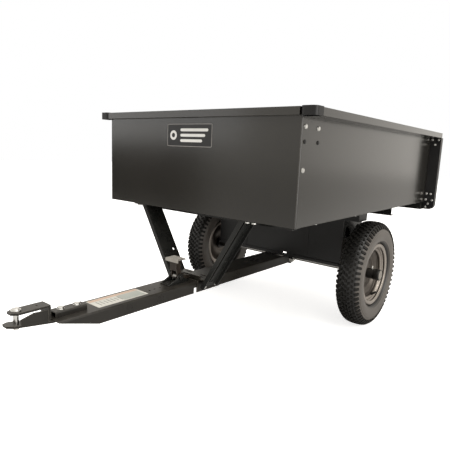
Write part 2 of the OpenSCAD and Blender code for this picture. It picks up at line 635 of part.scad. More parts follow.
// Lever that turns on the latch pin: two side plates and a front web
module latch_lever() color([0.23, 0.2, 0.17]) at_bed() difference() {
    union() {
        both_sides() side_plate(lever_half - 3, 3) union() {
            translate([latch_y, latch_z]) circle(9);
            polygon([[latch_y - 9, latch_z], [latch_y - 16, pedal_z - 3], [latch_y + 8, pedal_z - 3],
                [latch_y + 9, latch_z]]);
            polygon([[latch_y, latch_z - 9], [latch_y, latch_z + 9], [8, rear_top + 14], [8, rear_top + 4]]);
        }
        block([-lever_half, latch_y - 15, latch_z + 22], [lever_half, latch_y - 12, pedal_z - 3]);
        block([-lever_half, 5, rear_top + 5], [lever_half, 8, rear_top + 13]);
    }
    translate([-50, latch_y, latch_z]) rotate([0, 90, 0]) cylinder(h = 100, d = latch_pin_d + 2 * fit);
}

module latch_pedal() color([0.45, 0.43, 0.41]) at_bed() {
    block([-pedal_w / 2, latch_y - 22, pedal_z - 3 + 0.2], [pedal_w / 2, latch_y + 14, pedal_z]);
    for (i = [0:5]) block([-pedal_w / 2 + 3, latch_y - 19 + i * 6, pedal_z - 0.1],
        [pedal_w / 2 - 3, latch_y - 17 + i * 6, pedal_z + 1.5]);
    block([-pedal_w / 2, latch_y - 22, pedal_z - 10], [pedal_w / 2, latch_y - 19.5, pedal_z]);
}

// Hitch pin with a washer head and a lift ring
module hitch_pin() color([0.82, 0.82, 0.8]) at_bed() translate([0, hitch_y, 0]) {
    translate([0, 0, lower_top - 3]) cylinder(h = lower_rise + throat + hitch_t + 6.3, d = pin_d);
    translate([0, 0, upper_foot + hitch_t + gap]) cylinder(h = 3, d = 24);
    translate([0, 0, upper_foot + hitch_t + 3]) cylinder(h = 3, d = 17);
}

// Superellipse section of the tyre: the power sets how square it is
function section(half_x, half_r, mid_r, power) = [for (a = [0:6:354])
    [mid_r + half_r * sign(sin(a)) * pow(abs(sin(a)), power), half_x * sign(cos(a)) * pow(abs(cos(a)), power)]];

module along_x() rotate([0, 90, 0]) children();

module tyre() along_x() rotate_extrude($fn = 96) difference() {
    polygon(section(tyre_w / 2, (tyre_d / 2 - seat_r + 8) / 2, (tyre_d / 2 + seat_r - 8) / 2, 0.66));
    polygon(section(tyre_w / 2 - 9, (tyre_d / 2 - seat_r - 31) / 2, (tyre_d / 2 + seat_r + 9) / 2, 0.7));
    translate([0, -big / 2]) square([seat_r + gap, big]);
    translate([0, rim_half - 9]) square([lip_d / 2 + gap, big]);
    translate([0, -big - rim_half + 9]) square([lip_d / 2 + gap, big]);
    translate([0, -11]) square([seat_r + 30, 22]);
}

// Half of the rim's section on the tyre's side and on the inside, as [radius, distance from the middle]
tyre_side = [[well_r, 11], [seat_r - 1.4, 15], [seat_r, rim_half - 8.5], [seat_r + 2.6, rim_half - 5],
    [lip_d / 2 - 3, rim_half - 4], [lip_d / 2, rim_half - 2], [lip_d / 2, rim_half]];
inner_side = [[lip_d / 2 - 3, rim_half], [lip_d / 2 - 6, rim_half - 1.6], [seat_r, rim_half - 2.4],
    [seat_r - 2.6, rim_half - 7.5], [seat_r - 4, 17], [well_r - 2.6, 12.6]];
function flipped(points) = [for (i = [len(points) - 1:-1:0]) [points[i][0], -points[i][1]]];

// Welded rim with a dished disc round the hub
module rim() along_x() {
    rotate_extrude($fn = 96)
        polygon(concat(tyre_side, inner_side, flipped(inner_side), flipped(tyre_side)));
    rotate_extrude($fn = 96)
        polygon([[well_r - 1, 3], [well_r - 10, 3], [well_r - 24, -6], [hub_r + 14, -6], [hub_r + gap, -2],
            [hub_r + gap, 1], [hub_r + 14, -3], [well_r - 23, -3], [well_r - 9, 6], [well_r - 1, 6]]);
}

module hub() along_x() difference() {
    union() {
        translate([0, 0, hub_in]) cylinder(h = hub_out - hub_in, r = hub_r);
        translate([0, 0, -9.3]) cylinder(h = 3, r = hub_r + 9);
    }
    translate([0, 0, hub_in - cut]) cylinder(h = hub_out - hub_in + 2 * cut, r = bushing_r + 0.05);
}

module bushings() along_x() difference() {
    union() {
        translate([0, 0, hub_in]) cylinder(h = 30, r = bushing_r);
        translate([0, 0, hub_out - 30]) cylinder(h = 30, r = bushing_r);
    }
    translate([0, 0, hub_in - cut]) cylinder(h = 200, d = axle_d + 2 * fit);
}

// Cup that covers the end of the axle
module cap() along_x() difference() {
    translate([0, 0, hub_out - 8]) cylinder(h = 24, r = hub_r + 1.7);
    translate([0, 0, hub_out - 8 - cut]) cylinder(h = 22 + cut, r = hub_r + 0.1);
    translate([0, 0, hub_out + 14.5]) difference() {
        cylinder(h = 10, r = 30);
        translate([0, 0, -cut]) cylinder(h = 12, r = hub_r - 1);
    }
}

// Rubber valve stem with its brass tip, low on the rim's inner wall
module valve() rotate([196, 0, 0]) translate([15.7, 0, well_r + 0.7]) rotate([0, 125, 0]) {
    cylinder(h = 5, r = 5.4);
    cylinder(h = 18, r = 4.4);
    cylinder(h = 24, r = 3);
}

module at_right_wheel() at_bed() translate([wheel_x, axle_y, axle_z]) children();
module at_left_wheel() mirror([1, 0, 0]) at_right_wheel() children();

module right_tyre() color([0.09, 0.09, 0.09]) at_right_wheel() tyre();
module right_rim() color([0.55, 0.53, 0.5]) at_right_wheel() rim();
module right_hub() color([0.08, 0.08, 0.08]) at_right_wheel() hub();
module right_bushings() color([0.6, 0.5, 0.3]) at_right_wheel() bushings();
module right_cap() color([0.62, 0.61, 0.58]) at_right_wheel() cap();
module right_valve() color([0.06, 0.06, 0.06]) at_right_wheel() valve();
module left_tyre() color([0.09, 0.09, 0.09]) at_left_wheel() tyre();
module left_rim() color([0.55, 0.53, 0.5]) at_left_wheel() rim();
module left_hub() color([0.08, 0.08, 0.08]) at_left_wheel() hub();
module left_bushings() color([0.6, 0.5, 0.3]) at_left_wheel() bushings();
module left_cap() color([0.62, 0.61, 0.58]) at_left_wheel() cap();
module left_valve() color([0.06, 0.06, 0.06]) at_left_wheel() valve();

bed_floor();
front_panel();
right_side_panel();
left_side_panel();
corner_caps();
right_rear_bracket();
left_rear_bracket();
rear_sill();
rear_cross_member();
front_cross_member();
axle_support();
support_end_plates();
support_wings();
pivot_ears();
axle();
axle_washers();
axle_cotter_pins();
right_leg();
left_leg();
latch_striker();
corner_bolts();
corner_rivets();
rear_bracket_bolts();
leg_bolts();
underframe_bolts();
floor_bolts();
tailgate_panel();
tailgate_rail();
tongue_front();
tongue_rear();
tongue_bolts();
hitch_upper_plate();
hitch_lower_plate();
hitch_mount();
hitch_bolts();
latch_bracket();
latch_bolts();
latch_pin();
latch_spring();
pivot_bolt();
latch_lever();
latch_pedal();
hitch_pin();
right_tyre();
right_rim();
right_hub();
right_bushings();
right_cap();
right_valve();
left_tyre();
left_rim();
left_hub();
left_bushings();
left_cap();
left_valve();
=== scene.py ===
# %% [markdown]
# # A tow-behind dump cart, painted and finished
#
# A small steel cart that a lawn tractor pulls. The pressed and folded parts come from the packed
# CAD model, which is loaded first and never moved. This lesson gives each part the finish it has
# in life, and builds by formula the things that a CAD solid shows too plainly: tyres with their
# lugs, rolled wheel rims, a wound spring, grease fittings, a badge and a label.

import json
import math

import bpy
import numpy as np
from mathutils import Matrix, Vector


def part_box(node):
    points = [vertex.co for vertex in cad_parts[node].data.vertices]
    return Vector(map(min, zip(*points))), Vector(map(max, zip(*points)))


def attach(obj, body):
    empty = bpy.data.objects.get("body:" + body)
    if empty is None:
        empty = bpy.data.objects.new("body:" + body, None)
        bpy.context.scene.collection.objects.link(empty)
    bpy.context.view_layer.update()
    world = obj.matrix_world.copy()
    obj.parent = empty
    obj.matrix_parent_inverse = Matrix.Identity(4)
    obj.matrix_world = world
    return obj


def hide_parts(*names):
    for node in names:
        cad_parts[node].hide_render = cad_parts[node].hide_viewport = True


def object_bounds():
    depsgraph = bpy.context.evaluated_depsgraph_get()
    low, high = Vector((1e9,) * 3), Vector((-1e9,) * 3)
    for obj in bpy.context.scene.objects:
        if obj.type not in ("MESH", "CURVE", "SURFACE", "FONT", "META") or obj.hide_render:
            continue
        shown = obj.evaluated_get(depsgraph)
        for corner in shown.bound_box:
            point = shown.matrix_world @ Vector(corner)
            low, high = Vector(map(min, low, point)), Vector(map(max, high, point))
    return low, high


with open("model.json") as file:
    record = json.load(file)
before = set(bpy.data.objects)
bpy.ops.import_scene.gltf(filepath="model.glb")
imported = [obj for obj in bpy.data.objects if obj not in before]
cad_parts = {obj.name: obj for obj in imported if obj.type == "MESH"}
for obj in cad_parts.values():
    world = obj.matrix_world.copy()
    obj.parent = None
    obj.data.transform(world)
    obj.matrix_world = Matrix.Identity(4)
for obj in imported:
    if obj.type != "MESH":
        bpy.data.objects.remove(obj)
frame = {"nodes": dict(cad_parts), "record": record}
cad_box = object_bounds()

# %% [markdown]
# ## Reading places from the parts
#
# Every new piece is put where the CAD parts are, so the middle of a wheel is the middle of its
# rim's box, and the height of the tongue is the top of the tongue's box. Only the small details
# have sizes of their own, which are given where they are made.


# %% Middles and sizes
def middle(node):
    """The middle of a part's box: half the sum of its lowest and highest corners."""
    low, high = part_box(node)
    return (np.array(low) + np.array(high)) / 2


def size(node):
    """The size of a part's box: its highest corner less its lowest."""
    low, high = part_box(node)
    return np.array(high) - np.array(low)


# Each wheel's outer side looks along +X or -X. A profile that would reach the axle's line or a
# fitting's own line stops a hair short of it, so that no face is drawn in to a point.
outward_of = {"right": 1, "left": -1}
hair = 0.0001
wheel_middle = {side: middle(f"{side}_rim") for side in outward_of}
tyre_radius = size("right_tyre")[2] / 2
lip_radius = size("right_rim")[2] / 2
tongue_low, tongue_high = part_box("tongue_front")
print("tyre radius", round(tyre_radius, 4), "lip radius", round(lip_radius, 4))

# %% [markdown]
# ## Camera
#
# The cart is seen from ahead of its right wheel, from a hand's breadth below the rim of the bed,
# and the camera leans by a couple of degrees, as one held in the hand does. The three directions
# below are the camera's right, its up and its back, so no angles are turned one after another.


# %% Camera
def stand(made, right, up, back, place):
    """Stands an object in the room: the columns of its matrix are the directions of its own X, Y
    and Z, and then its place."""
    rows = [[right[i], up[i], back[i], place[i]] for i in range(3)]
    made.matrix_world = Matrix([*rows, [0, 0, 0, 1]])
    bpy.context.scene.collection.objects.link(made)


eye = (0.97237, -1.31194, 0.63976)
right_way = (0.77002, 0.63669, 0.04117)
up_way = (-0.13819, 0.10343, 0.98499)
back_way = (0.62288, -0.76415, 0.16762)
camera = bpy.data.objects.new("camera", bpy.data.cameras.new("camera"))
camera.data.lens = 34.92
camera.data.sensor_width = 36
camera.data.clip_start = 0.01
stand(camera, right_way, up_way, back_way, eye)
bpy.context.scene.camera = camera
print("camera stands", round(math.dist(eye, (0, 0, 0.6)), 2), "m from the bed")

# %% [markdown]
# ## Studio
#
# Black gloss paint has hardly any colour of its own. What it shows is the room, so the room is
# what has to be right: pale walls all round, a pale floor, a broad lamp over the cart and one at
# its right side. Ahead of the cart on the left stand two cards, a dark one below and a glowing one
# above it. Only gloss sees them: they give the front panel its dark lower part and the pale band
# over it.


# %% Room and lamps
def lamp(name, place, aim, width, power, tint):
    """A square lamp at place whose light leaves along the line from place to aim."""
    data = bpy.data.lights.new(name, "AREA")
    data.size = width
    data.energy = power
    data.color = tint
    made = bpy.data.objects.new(name, data)
    back = np.array(place, float) - np.array(aim, float)
    back /= np.linalg.norm(back)
    nearly_up = (0.0, 0.05, 1.0)
    side = np.cross(nearly_up, back)
    side /= np.linalg.norm(side)
    stand(made, side, np.cross(back, side), back, place)


room = bpy.data.worlds.new("studio_room")
room.use_nodes = True
walls = room.node_tree
walls.nodes.clear()
seen = walls.nodes.new("ShaderNodeBackground")
seen.inputs["Color"].default_value = (1, 1, 1, 1)
seen.inputs["Strength"].default_value = 1.0
lit = walls.nodes.new("ShaderNodeBackground")
lit.inputs["Color"].default_value = (1.0, 0.955, 0.885, 1)
lit.inputs["Strength"].default_value = 0.95
ray = walls.nodes.new("ShaderNodeLightPath")
pick = walls.nodes.new("ShaderNodeMixShader")
out = walls.nodes.new("ShaderNodeOutputWorld")
walls.links.new(ray.outputs["Is Camera Ray"], pick.inputs["Fac"])
walls.links.new(lit.outputs["Background"], pick.inputs[1])
walls.links.new(seen.outputs["Background"], pick.inputs[2])
walls.links.new(pick.outputs["Shader"], out.inputs["Surface"])
bpy.context.scene.world = room
bpy.context.scene.view_settings.view_transform = "Standard"

lamp("lamp_over", (0.3, -0.6, 3.0), (0, 0, 0.4), 2.6, 85, (1.0, 0.985, 0.96))
lamp("lamp_side", (2.9, -0.1, 1.0), (0.3, 0.2, 0.3), 2.2, 38, (1.0, 0.975, 0.94))


# %% Floor
def flat_sheet(name, corners):
    """One flat face on four corners, given in order round it."""
    data = bpy.data.meshes.new(name)
    data.from_pydata([tuple(c) for c in corners], [], [(0, 1, 2, 3)])
    made = bpy.data.objects.new(name, data)
    bpy.context.scene.collection.objects.link(made)
    return made


def stage_finish(name, seen_grey, felt_grey, glow, felt_glow=0.0):
    """A matt paint for the room. The camera sees the grey seen_grey with some glow, and the light
    that bounces off it feels felt_grey and felt_glow, so that dark parts stay dark."""
    made = bpy.data.materials.new(name)
    made.use_nodes = True
    tree = made.node_tree
    shader = tree.nodes["Principled BSDF"]
    ray = tree.nodes.new("ShaderNodeLightPath")
    for socket, felt, shown in (
        ("Base Color", felt_grey, seen_grey), ("Emission Strength", felt_glow, glow),
    ):
        choose = tree.nodes.new("ShaderNodeMapRange")
        choose.inputs["To Min"].default_value = felt
        choose.inputs["To Max"].default_value = shown
        tree.links.new(ray.outputs["Is Camera Ray"], choose.inputs["Value"])
        tree.links.new(choose.outputs["Result"], shader.inputs[socket])
    shader.inputs["Roughness"].default_value = 0.9
    shader.inputs["Specular IOR Level"].default_value = 0.1
    shader.inputs["Emission Color"].default_value = (1, 1, 1, 1)
    return made


reach = 14.0
floor = flat_sheet("floor", [(x * reach, y * reach, 0) for x, y in ((-1, -1), (1, -1), (1, 1), (-1, 1))])
floor.data.materials.append(stage_finish("pale_floor", 0.9, 0.55, 0.72))
print("floor", 2 * reach, "m across")

# %% Cards
card_y = -2.3
cards_meet = 0.7


def card(name, left, right, low, high, grey, glow):
    """An upright card ahead of the cart, from left to right and from low to high, that only
    gloss can see."""
    made = flat_sheet(
        name, [(x, card_y, z) for x, z in ((left, low), (right, low), (right, high), (left, high))]
    )
    made.data.materials.append(stage_finish(name + "_paint", grey, grey, glow, glow))
    made.visible_camera = False
    made.visible_diffuse = False
    made.visible_shadow = False


card("dark_card", -4.6, -1.75, 0.0, cards_meet, 0.03, 0.0)
card("pale_card", -4.6, -1.3, cards_meet, 1.25, 0.5, 1.2)
print("cards meet", cards_meet, "m up,", -card_y, "m ahead of the bed's middle")

# %% [markdown]
# ## Three effects that several finishes share
#
# Folded sheet has small round edges that catch the light, and each finish paints a lighter
# colour along them: partly wear, and partly a painted highlight on the edge. Sprayed paint dries
# with a fine skin like the peel of an orange. Faces that look up get a lighter colour: partly
# dust, and partly painted light from the lamp above. Each is made once as a node group, with
# inputs for how strong it is, and placed in each material.


# %% Helpers for node groups
def new_group(name, inputs, outputs):
    """An empty shader group: inputs are (name, value), outputs are (name, kind of socket)."""
    tree = bpy.data.node_groups.new(name, "ShaderNodeTree")
    for label, value in inputs:
        socket = tree.interface.new_socket(label, in_out="INPUT", socket_type="NodeSocketFloat")
        socket.default_value = value
    for label, kind in outputs:
        tree.interface.new_socket(label, in_out="OUTPUT", socket_type=kind)
    return tree, tree.nodes.new("NodeGroupInput"), tree.nodes.new("NodeGroupOutput")


def add(tree, kind, sockets=(), **settings):
    """A node of that kind, with its settings and with values or links for its inputs."""
    node = tree.nodes.new(kind)
    for key, value in settings.items():
        setattr(node, key, value)
    for key, value in dict(sockets).items():
        if isinstance(value, bpy.types.NodeSocket):
            tree.links.new(value, node.inputs[key])
        else:
            node.inputs[key].default_value = value
    return node


def noise(tree, coordinates, scale, detail):
    """Noise of that many bumps to the metre, as a value from 0 to 1."""
    node = add(tree, "ShaderNodeTexNoise", {"Vector": coordinates, "Scale": scale, "Detail": detail})
    return node.outputs["Fac"]


def spread(tree, value, low, high, start=0.0, end=1.0):
    """Value from low to high, carried to start to end, and held at those ends."""
    node = add(tree, "ShaderNodeMapRange", {0: value, 1: low, 2: high, 3: start, 4: end})
    return node.outputs["Result"]


# %% Round edges
round_edges, given, made = new_group(
    "round_edges", [("Radius", 0.001)], [("Normal", "NodeSocketVector"), ("Edge", "NodeSocketFloat")]
)
soft = add(round_edges, "ShaderNodeBevel", {"Radius": given.outputs["Radius"]}, samples=4)
flat = add(round_edges, "ShaderNodeNewGeometry")
turn = add(
    round_edges, "ShaderNodeVectorMath",
    {0: soft.outputs["Normal"], 1: flat.outputs["Normal"]}, operation="DOT_PRODUCT",
)
# On flat sheet the two normals agree and their product is 1. It falls where an edge turns.
flat_product, edge_product = 0.995, 0.86
edge = spread(round_edges, turn.outputs["Value"], flat_product, edge_product)
round_edges.links.new(soft.outputs["Normal"], made.inputs["Normal"])
round_edges.links.new(edge, made.inputs["Edge"])

# %% Paint skin
paint_skin, given, made = new_group(
    "paint_skin", [("Peel Scale", 420.0), ("Cloud Scale", 5.0)],
    [("Height", "NodeSocketFloat"), ("Cloud", "NodeSocketFloat"), ("Speck", "NodeSocketFloat")],
)
place = add(paint_skin, "ShaderNodeTexCoord")
peel = noise(paint_skin, place.outputs["Object"], given.outputs["Peel Scale"], 2.0)
cloud = noise(paint_skin, place.outputs["Object"], given.outputs["Cloud Scale"], 5.0)
speck = noise(paint_skin, place.outputs["Object"], 1500.0, 1.0)
paint_skin.links.new(peel, made.inputs["Height"])
paint_skin.links.new(spread(paint_skin, cloud, 0.3, 0.7), made.inputs["Cloud"])
paint_skin.links.new(spread(paint_skin, speck, 0.66, 0.78), made.inputs["Speck"])

# %% Dust and top light
dust_and_top_light, given, made = new_group(
    "dust_and_top_light", [("Amount", 0.3)], [("Dust", "NodeSocketFloat")]
)
place = add(dust_and_top_light, "ShaderNodeTexCoord")
parts = add(dust_and_top_light, "ShaderNodeSeparateXYZ", {0: place.outputs["Normal"]})
# Faces that look up get the lighter colour: partly dust, and partly painted light from the lamp above.
upward = spread(dust_and_top_light, parts.outputs["Z"], 0.1, 1.0)
blotch = spread(dust_and_top_light, noise(dust_and_top_light, place.outputs["Object"], 34.0, 6.0), 0.35, 0.75)
both = add(dust_and_top_light, "ShaderNodeMath", {0: upward, 1: blotch}, operation="MULTIPLY")
final = add(
    dust_and_top_light, "ShaderNodeMath", {0: both.outputs[0], 1: given.outputs["Amount"]},
    operation="MULTIPLY", use_clamp=True,
)
dust_and_top_light.links.new(final.outputs[0], made.inputs["Dust"])
print("shared effects:", [g.name for g in bpy.data.node_groups])

# %% [markdown]
# ## Finishes
#
# One function makes them all, because every finish here is the same kind of thing: a colour, a
# second colour along the edges that is partly wear and partly a painted highlight, a lighter
# colour on top that is partly dust and partly painted top light, and a skin with fine bumps. What
# differs is the metal in it, how rough it is and how coarse its skin is.


# %% The finish function
# The colour laid on faces that look up: partly dust, and partly painted top light.
dust_and_light_colour = (0.2, 0.18, 0.15)
dust_roughness = 0.4


def group_node(tree, group, sockets):
    """Places a shared effect in a material and sets its inputs by name."""
    return add(tree, "ShaderNodeGroup", sockets, node_tree=group)


def blend(tree, amount, first, second):
    """First colour where amount is 0 and second where it is 1. The two colours go into the mixing
    node's sockets 6 and 7, and the mix comes out of its socket 2."""
    node = tree.nodes.new("ShaderNodeMix")
    node.data_type = "RGBA"
    tree.links.new(amount, node.inputs["Factor"])
    for socket, value in ((node.inputs[6], first), (node.inputs[7], second)):
        if isinstance(value, bpy.types.NodeSocket):
            tree.links.new(value, socket)
        else:
            socket.default_value = (*value, 1)
    return node.outputs[2]


def finish(name, colour, cloud_colour, edge_wear_and_highlight, metallic=0.0, rough=(0.2, 0.3), peel=420.0,
           bump=0.05, depth=0.0004, radius=0.001, edge=0.3, dust=0.1, cloud=5.0, specular=0.5):
    """A finish: colour mixed with cloud_colour in soft clouds, with a second colour along the edges,
    partly wear and partly a painted highlight, and a lighter colour on top, partly dust and partly
    painted top light. rough is the roughness in clear and in clouded places. bump and depth set how
    much the skin's fine bumps tip the light."""
    made = bpy.data.materials.new(name)
    made.use_nodes = True
    tree = made.node_tree
    shader = tree.nodes["Principled BSDF"]
    edges = group_node(tree, round_edges, {"Radius": radius})
    skin = group_node(tree, paint_skin, {"Peel Scale": peel, "Cloud Scale": cloud})
    # The lighter colour on top is partly dust and partly painted top light.
    dust_and_light = group_node(tree, dust_and_top_light, {"Amount": dust})
    base = blend(tree, skin.outputs["Cloud"], colour, cloud_colour)
    # A lighter colour is mixed in along the edges: partly wear, and partly a painted highlight.
    thin = add(tree, "ShaderNodeMath", {0: edges.outputs["Edge"], 1: edge}, operation="MULTIPLY")
    worn_and_highlit = blend(tree, thin.outputs[0], base, edge_wear_and_highlight)
    dusty_and_lit = blend(tree, dust_and_light.outputs["Dust"], worn_and_highlit, dust_and_light_colour)
    tree.links.new(dusty_and_lit, shader.inputs["Base Color"])
    coarse = spread(tree, skin.outputs["Cloud"], 0.0, 1.0, rough[0], rough[1])
    extra = add(tree, "ShaderNodeMath", {0: dust_and_light.outputs["Dust"], 1: dust_roughness}, operation="MULTIPLY")
    total = add(tree, "ShaderNodeMath", {0: coarse, 1: extra.outputs[0]}, operation="ADD", use_clamp=True)
    tree.links.new(total.outputs[0], shader.inputs["Roughness"])
    rise = add(tree, "ShaderNodeBump", {
        "Strength": bump, "Distance": depth,
        "Height": skin.outputs["Height"], "Normal": edges.outputs["Normal"],
    })
    tree.links.new(rise.outputs["Normal"], shader.inputs["Normal"])
    shader.inputs["Metallic"].default_value = metallic
    shader.inputs["Specular IOR Level"].default_value = specular
    return made


# %% [markdown]
# ### The paints
#
# The bed is a warm near-black with a smooth gloss. Its under-frame has much the same paint with
# less gloss and more dust on top, which is partly painted top light. The rear channels and corner
# caps are a deeper black. The tongue's edges are pale, partly from rubbing and partly as a painted
# highlight. The wheels' rims are a grey-brown enamel with some metal in it, made light enough that
# the lip shows a painted highlight, and their discs have a darker copy of it: painted shade for the
# shadow inside the wheel.

# %% Paints
paints = {
    "panel_paint": finish(
        "panel_paint", (0.0125, 0.0115, 0.0095), (0.017, 0.0155, 0.0125), (0.11, 0.1, 0.085),
        rough=(0.2, 0.26), bump=0.045, radius=0.0012, edge=0.5, dust=0.04, cloud=3.0, specular=0.2,
    ),
    "black_paint": finish(
        "black_paint", (0.004, 0.004, 0.0045), (0.008, 0.008, 0.008), (0.06, 0.06, 0.06),
        rough=(0.3, 0.42), bump=0.12, peel=700.0, edge=0.35, dust=0.08, specular=0.35,
    ),
    "underframe_paint": finish(
        "underframe_paint", (0.008, 0.0085, 0.008), (0.014, 0.0145, 0.0135), (0.16, 0.15, 0.13),
        rough=(0.2, 0.3), bump=0.08, edge=0.35, dust=0.08, specular=0.35,
    ),
    "tongue_paint": finish(
        "tongue_paint", (0.012, 0.011, 0.0092), (0.018, 0.0162, 0.0135), (0.3, 0.27, 0.23),
        rough=(0.24, 0.36), bump=0.1, radius=0.0014, edge=0.5, dust=0.1, cloud=9.0, specular=0.3,
    ),
    # Painted highlight: the rim's enamel is kept light so that its lip shows bright.
    "rim_paint": finish(
        "rim_paint", (0.29, 0.26, 0.23), (0.38, 0.345, 0.31), (0.6, 0.57, 0.53),
        metallic=0.75, rough=(0.3, 0.42), bump=0.12, edge=0.2, dust=0.12, cloud=14.0,
    ),
    # Painted shade: the disc's paint is a darker copy of the rim's, for the shadow inside the wheel.
    "disc_shaded_paint": finish(
        "disc_shaded_paint", (0.075, 0.065, 0.056), (0.11, 0.096, 0.084), (0.34, 0.31, 0.28),
        metallic=0.7, rough=(0.3, 0.42), bump=0.14, edge=0.3, dust=0.1, cloud=14.0,
    ),
    "cap_grey": finish(
        "cap_grey", (0.21, 0.194, 0.17), (0.25, 0.23, 0.2), (0.45, 0.42, 0.38),
        metallic=0.2, rough=(0.35, 0.5), bump=0.1, edge=0.3, dust=0.1,
    ),
    "hub_black": finish(
        "hub_black", (0.006, 0.006, 0.006), (0.012, 0.011, 0.01), (0.1, 0.09, 0.08),
        rough=(0.28, 0.4), bump=0.14, edge=0.4, dust=0.15,
    ),
}

# The panels have a clear gloss over their colour.
shader = paints["panel_paint"].node_tree.nodes["Principled BSDF"]
shader.inputs["Coat Weight"].default_value = 1.0
shader.inputs["Coat Roughness"].default_value = 0.19
shader.inputs["Coat IOR"].default_value = 1.47
print("paints:", sorted(paints))

# %% [markdown]
# ### The bare metals
#
# Bolts, washers and the hitch pin are zinc plated, which is bright with a faint cloudiness. The
# axle is drawn rod, the spring is oiled wire, and the foot lever has lost most of its paint, so
# brown steel shows through. Boots have rubbed its pedal bright.

# %% Metals
metals = {
    "zinc": finish(
        "zinc", (0.66, 0.655, 0.63), (0.78, 0.775, 0.75), (0.9, 0.9, 0.88),
        metallic=1.0, rough=(0.2, 0.34), peel=1100.0, bump=0.12, edge=0.3, dust=0.05, cloud=60.0,
    ),
    "axle_steel": finish(
        "axle_steel", (0.5, 0.49, 0.47), (0.6, 0.59, 0.57), (0.8, 0.79, 0.77),
        metallic=1.0, rough=(0.25, 0.4), peel=900.0, bump=0.15, edge=0.3, dust=0.1, cloud=30.0,
    ),
    "spring_steel": finish(
        "spring_steel", (0.42, 0.41, 0.4), (0.55, 0.54, 0.52), (0.7, 0.7, 0.68),
        metallic=1.0, rough=(0.22, 0.35), peel=1200.0, bump=0.1, edge=0.1, dust=0.05, cloud=40.0,
    ),
    "lever_steel": finish(
        "lever_steel", (0.018, 0.013, 0.0095), (0.045, 0.034, 0.026), (0.5, 0.46, 0.41),
        metallic=0.4, rough=(0.3, 0.5), peel=800.0, bump=0.3, edge=0.6, dust=0.12, cloud=55.0,
    ),
    "pedal_steel": finish(
        "pedal_steel", (0.34, 0.32, 0.29), (0.46, 0.44, 0.4), (0.78, 0.76, 0.72),
        metallic=0.8, rough=(0.3, 0.45), peel=800.0, bump=0.25, edge=0.6, dust=0.15, cloud=40.0,
    ),
    "bushing": finish(
        "bushing", (0.34, 0.25, 0.14), (0.42, 0.31, 0.17), (0.6, 0.5, 0.3),
        metallic=0.9, rough=(0.35, 0.5), peel=1500.0, bump=0.2, edge=0.2, dust=0.1, cloud=40.0,
    ),
}
print("metals:", sorted(metals))

# %% [markdown]
# ### Rubber
#
# New tyre rubber is a soft black. The side wall is smoother than the lugs and painted browner:
# partly the rubber's bloom, and partly a painted sheen for the light from the lamp beside it. The
# ground of the tread stays as dark as the lugs. The valve stem is a plain black rubber.

# %% Rubber
rubbers = {
    "tyre_rubber": finish(
        "tyre_rubber", (0.006, 0.0057, 0.0051), (0.01, 0.0094, 0.0083), (0.035, 0.033, 0.029),
        rough=(0.45, 0.6), peel=650.0, bump=0.25, edge=0.25, dust=0.03, cloud=22.0, specular=0.2,
    ),
    # The wall's pale brown is partly the rubber's bloom and partly a painted sheen.
    "tyre_wall": finish(
        "tyre_wall", (0.062, 0.054, 0.046), (0.09, 0.079, 0.068), (0.12, 0.108, 0.094),
        rough=(0.36, 0.46), peel=650.0, bump=0.2, edge=0.2, dust=0.05, cloud=22.0, specular=0.6,
    ),
    "valve_rubber": finish(
        "valve_rubber", (0.006, 0.006, 0.006), (0.01, 0.01, 0.01), (0.03, 0.03, 0.03),
        rough=(0.4, 0.5), peel=1200.0, bump=0.2, edge=0.2, dust=0.05,
    ),
}

# The tyre's ground between the lugs is as dark as they are: the wall's brown, partly bloom and
# partly a painted sheen, comes in where the surface looks sideways, so where the X part of its
# normal is near 1 or -1.
wall = rubbers["tyre_wall"].node_tree
shader = wall.nodes["Principled BSDF"]
ground_black = (0.005, 0.0048, 0.0043)
place = add(wall, "ShaderNodeTexCoord")
parts = add(wall, "ShaderNodeSeparateXYZ", {0: place.outputs["Normal"]})
sideways = add(wall, "ShaderNodeMath", {0: parts.outputs["X"]}, operation="ABSOLUTE")
brown = shader.inputs["Base Color"].links[0].from_socket
wall.links.new(
    blend(wall, spread(wall, sideways.outputs[0], 0.6, 0.93), ground_black, brown),
    shader.inputs["Base Color"],
)
finishes = {**paints, **metals, **rubbers}
print("finishes in all:", len(finishes))

# %% [markdown]
# ## Painting the CAD parts
#
# The record says which finish each part has. A part's own mesh is left as it is, and only the
# material in its slot is changed. The support under the floor gets the deeper black as painted
# shade, for the shadow it sits in under the bed.

# %% Put each finish on its parts
painted = 0
for entry in frame["record"]["subparts"]:
    part = frame["nodes"][entry["node"]]
    part.data.materials.clear()
    part.data.materials.append(finishes[entry["material_slot"]])
    painted += 1
# Painted shade: the axle support and its wings take the deeper black for the bed's shadow on them.
for node in ("axle_support", "support_wings"):
    frame["nodes"][node].data.materials[0] = finishes["black_paint"]
print("parts painted:", painted)

# %% [markdown]
# ## Surfaces by formula
#
# A grid of points becomes a surface when each square of four neighbours is made a face. If the
# last row joins the first the surface closes round, as a tyre's does both ways. A profile is a
# short list of corners. Where it has to be smooth, each corner is cut off at a quarter of its two
# edges, two or three times over, which tends to a smooth curve.


# %% Grid, profile and turning
def grid_faces(rows, columns, close_rows=True, close_columns=True):
    """Faces of a grid: point (i, j) with its neighbours (i+1, j), (i+1, j+1) and (i, j+1)."""
    i = np.arange(rows if close_rows else rows - 1)[:, None]
    j = np.arange(columns if close_columns else columns - 1)[None, :]
    up, along = (i + 1) % rows, (j + 1) % columns
    corners = (i * columns + j, up * columns + j, up * columns + along, i * columns + along)
    return np.stack([c + 0 * (i + j) for c in corners], axis=-1).reshape(-1, 4)


